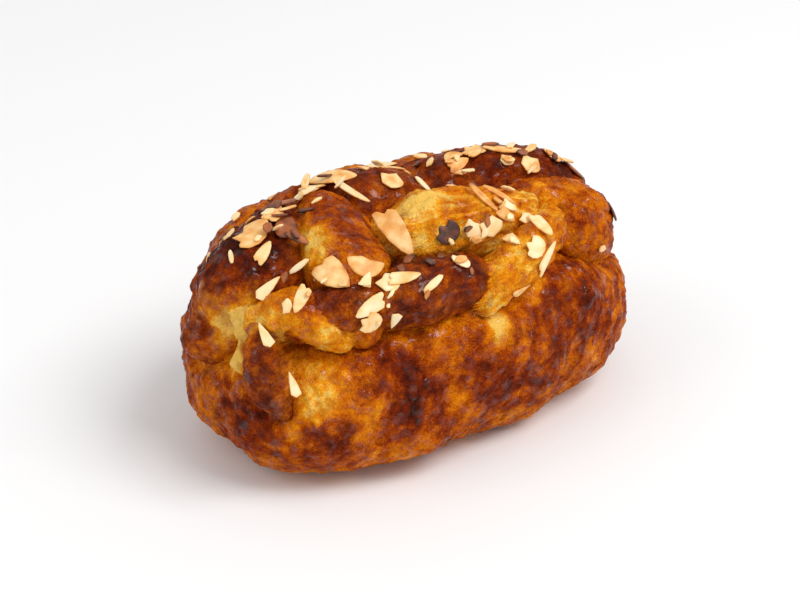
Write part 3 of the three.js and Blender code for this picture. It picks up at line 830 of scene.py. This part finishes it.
def crumb_rim(length, width, random):
    """The corners of an uneven broken piece, in order round its middle."""
    shift = random.uniform(-CORNER_SHIFT, CORNER_SHIFT, CRUMB_CORNERS)
    angles = (np.arange(CRUMB_CORNERS) + shift) * 2 * math.pi / CRUMB_CORNERS
    reach = random.uniform(*CORNER_REACH, CRUMB_CORNERS)
    return np.stack([np.cos(angles) * reach * length / 2, np.sin(angles) * reach * width / 2], axis=1)


def crumb_frame(loaf_tree, place, turn, random):
    """The middle and axes of a crumb that lies on the crust, tilted a little."""
    where, normal = loaf_tree.find_nearest(Vector(place))[:2]
    upright = np.array(normal) + random.uniform(-CRUMB_TILT, CRUMB_TILT, 3)
    upright /= np.linalg.norm(upright)
    along = np.cross((0, 1, 0), upright)
    along /= np.linalg.norm(along)
    side = np.cross(upright, along)
    angle = math.radians(turn)
    first = along * math.cos(angle) + side * math.sin(angle)
    return np.array(where), np.array([first, np.cross(upright, first), upright])


# ---------------------------------------------------------------- build
cad_loaf = cad_tree("loaf")
crust = crust_material()
almond = almond_material()
loaf_points, loaf_triangles, loaf_values = make_loaf_mesh(cad_loaf)
loaf = mesh_object("loaf_crust", loaf_points, loaf_triangles, loaf_values, crust)
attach(loaf, "root")
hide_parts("loaf")

trees = [tree_of(loaf_points, loaf_triangles)]
flake_nodes = [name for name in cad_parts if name.startswith("almond")]
flake_nodes.sort(key=lambda name: name[-2:])
for seed, node in enumerate(flake_nodes):
    toasting = node.split("_")[1]
    flake = make_flake(node.replace("almond", "flake"), *flake_frame(node), toasting, seed, trees, almond)
    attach(flake, "root")
    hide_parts(node)

for number, (x, y, z, turn, length, width, toasting) in enumerate(CRUMBS, 1):
    random = np.random.default_rng(CRUMB_PLACE_SEED + number)
    middle, axes = crumb_frame(trees[0], (x, y, z), turn, random)
    rim = crumb_rim(length, width, random)
    name = f"crumb_{toasting}_{number:02}"
    crumb = make_flake(name, middle, axes, rim, toasting, CRUMB_SHAPE_SEED + number, trees, almond)
    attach(crumb, "root")


# ---------------------------------------------------------------- floor, lights and camera
FLOOR_SIZE = 8
FLOOR_COLOUR = (0.9, 0.9, 0.9, 1)
WORLD_COLOUR = (1, 1, 1, 1)
WORLD_STRENGTH = 0.6
LIGHTS = [("key", 30, 55, 25), ("fill", -100, 40, 6)]  # name, azimuth, elevation and power
LIGHT_DISTANCE = 2.0
LIGHT_SIZE = 1.1
LIGHT_AIM = (0, 0, 0.04)
CAMERA_AZIMUTH = -35
CAMERA_ELEVATION = 29
CAMERA_DISTANCE = 0.6514
CAMERA_AIM = (-0.0034, 0.0003, 0.0398)
SENSOR_WIDTH = 36
LENS = 85


def direction(azimuth, elevation):
    """The way out from the loaf, in degrees. Azimuth 0 is in front of its long side."""
    a, e = math.radians(azimuth), math.radians(elevation)
    return Vector((math.sin(a) * math.cos(e), -math.cos(a) * math.cos(e), math.sin(e)))


def add_floor():
    bpy.ops.mesh.primitive_plane_add(size=FLOOR_SIZE, location=(0, 0, 0))
    floor = bpy.context.object
    floor.name = "floor"
    material, _, shader = new_material("floor")
    shader.inputs["Base Color"].default_value = FLOOR_COLOUR
    shader.inputs["Roughness"].default_value = 0.9
    shader.inputs["Specular IOR Level"].default_value = 0.1
    floor.data.materials.append(material)


def add_light(name, azimuth, elevation, power):
    """A square studio light that faces the loaf."""
    data = bpy.data.lights.new(name, "AREA")
    data.size = LIGHT_SIZE
    data.energy = power
    light = bpy.data.objects.new(name, data)
    bpy.context.scene.collection.objects.link(light)
    light.location = direction(azimuth, elevation) * LIGHT_DISTANCE
    light.rotation_euler = (Vector(LIGHT_AIM) - light.location).to_track_quat("-Z", "Y").to_euler()


def add_world():
    world = bpy.data.worlds.new("studio")
    world.use_nodes = True
    background = world.node_tree.nodes["Background"]
    background.inputs["Color"].default_value = WORLD_COLOUR
    background.inputs["Strength"].default_value = WORLD_STRENGTH
    bpy.context.scene.world = world


def add_camera():
    back = direction(CAMERA_AZIMUTH, CAMERA_ELEVATION)
    data = bpy.data.cameras.new("camera")
    data.sensor_width = SENSOR_WIDTH
    data.lens = LENS
    camera = bpy.data.objects.new("camera", data)
    camera.location = Vector(CAMERA_AIM) + back * CAMERA_DISTANCE
    camera.rotation_mode = "QUATERNION"
    camera.rotation_quaternion = (-back).to_track_quat("-Z", "Y")
    bpy.context.scene.collection.objects.link(camera)
    bpy.context.scene.camera = camera


add_floor()
add_world()
for light in LIGHTS:
    add_light(*light)
add_camera()
bpy.context.scene.view_settings.view_transform = "Standard"
